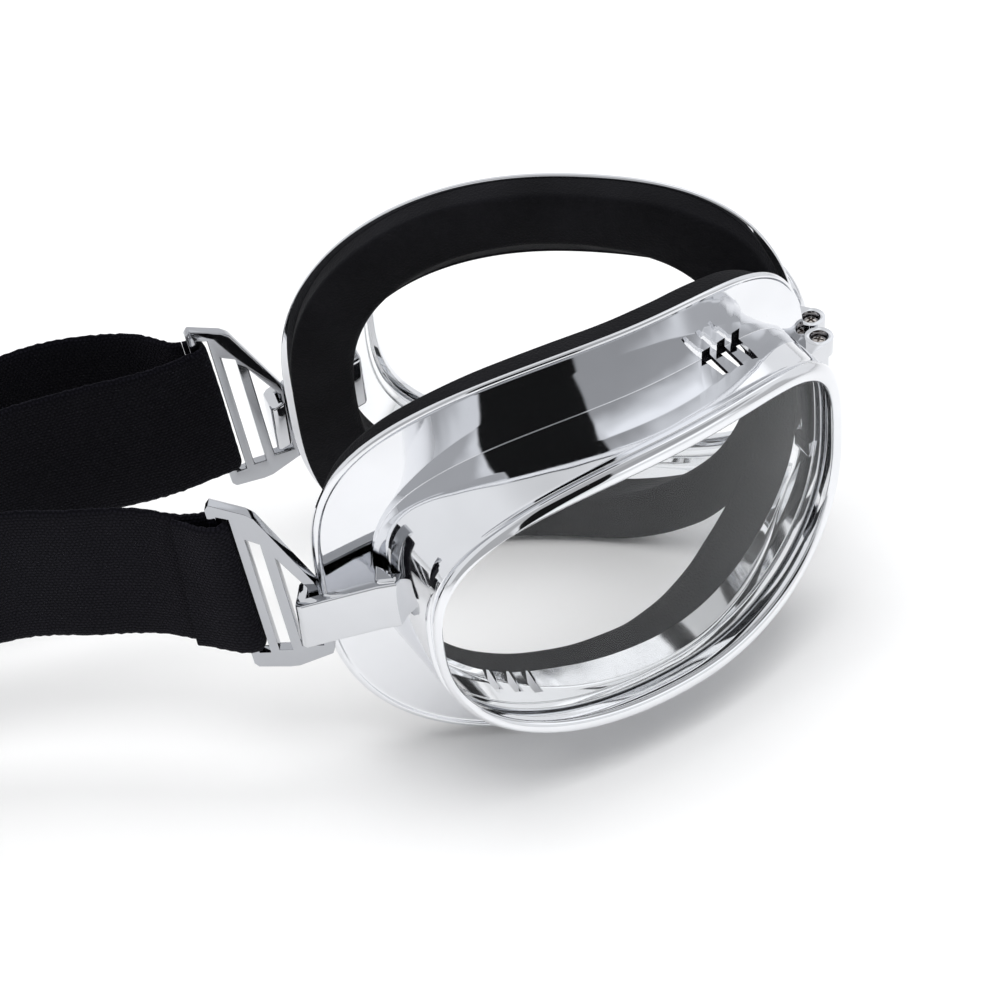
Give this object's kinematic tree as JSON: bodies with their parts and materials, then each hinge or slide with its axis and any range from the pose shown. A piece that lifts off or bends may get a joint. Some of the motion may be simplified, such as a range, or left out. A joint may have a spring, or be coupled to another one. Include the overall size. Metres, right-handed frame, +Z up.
{
  "type": "goggles",
  "caption": "Folding chrome eye cups with clear curved lenses, black face pads, a pivoting nose bridge, strap buckles and a black elastic head strap with a slider.",
  "frame": {"origin": "on the floor under the middle of the object's bounding box", "axes": "+Z up; +Y from the nose bridge towards the rear of the head strap; +X towards the wearer's left cup; the folded cups are mirror images in the plane X = 0"},
  "size_m": [0.0856, 0.2858, 0.0785],
  "materials": {
    "chrome": "bright chrome plating on stamped metal",
    "lens": "clear polished lens",
    "foam": "matt black closed-cell foam with a cloth skin",
    "strap": "matt black woven elastic",
    "screw": "plated steel"
  },
  "bodies": {
    "bridge": {"bridge_link": "chrome", "right_strap_run": "strap", "left_strap_run": "strap", "left_strap_tail": "strap"},
    "right_cup": {"right_cup_shell": "chrome", "right_lens": "lens", "right_lens_retainer": "chrome", "right_face_foam": "foam", "right_bridge_screw": "screw"},
    "left_cup": {"left_cup_shell": "chrome", "left_lens": "lens", "left_lens_retainer": "chrome", "left_face_foam": "foam", "left_bridge_screw": "screw"},
    "right_buckle": {"right_strap_buckle": "chrome"},
    "left_buckle": {"left_strap_buckle": "chrome"},
    "slider": {"strap_slider": "chrome"}
  },
  "joints": [
    {"name": "right_cup_hinge", "type": "hinge", "parent": "bridge", "child": "right_cup", "pos_m": [-0.00265, -0.14052, 0.0445], "axis": [0, 0, 1], "range_deg": [0, 55], "deforming": ["right_strap_run"]},
    {"name": "left_cup_hinge", "type": "hinge", "parent": "bridge", "child": "left_cup", "pos_m": [0.00265, -0.14052, 0.0445], "axis": [0, 0, -1], "range_deg": [0, 55], "deforming": ["left_strap_run", "left_strap_tail"]},
    {"name": "right_buckle_hinge", "type": "hinge", "parent": "right_cup", "child": "right_buckle", "pos_m": [-0.02513, -0.05259, 0.0345], "axis": [0.0178, 0.0878, 0.996], "range_deg": [-30, 10], "deforming": ["right_strap_run"]},
    {"name": "left_buckle_hinge", "type": "hinge", "parent": "left_cup", "child": "left_buckle", "pos_m": [0.02513, -0.05259, 0.0345], "axis": [0.0178, -0.0878, -0.996], "range_deg": [-30, 10], "deforming": ["left_strap_run", "left_strap_tail"]},
    {"name": "slider_slide", "type": "slide", "parent": "bridge", "child": "slider", "axis": [0, 1, 0], "range_m": [-0.002, 0.018], "deforming": ["left_strap_tail"]}
  ]
}
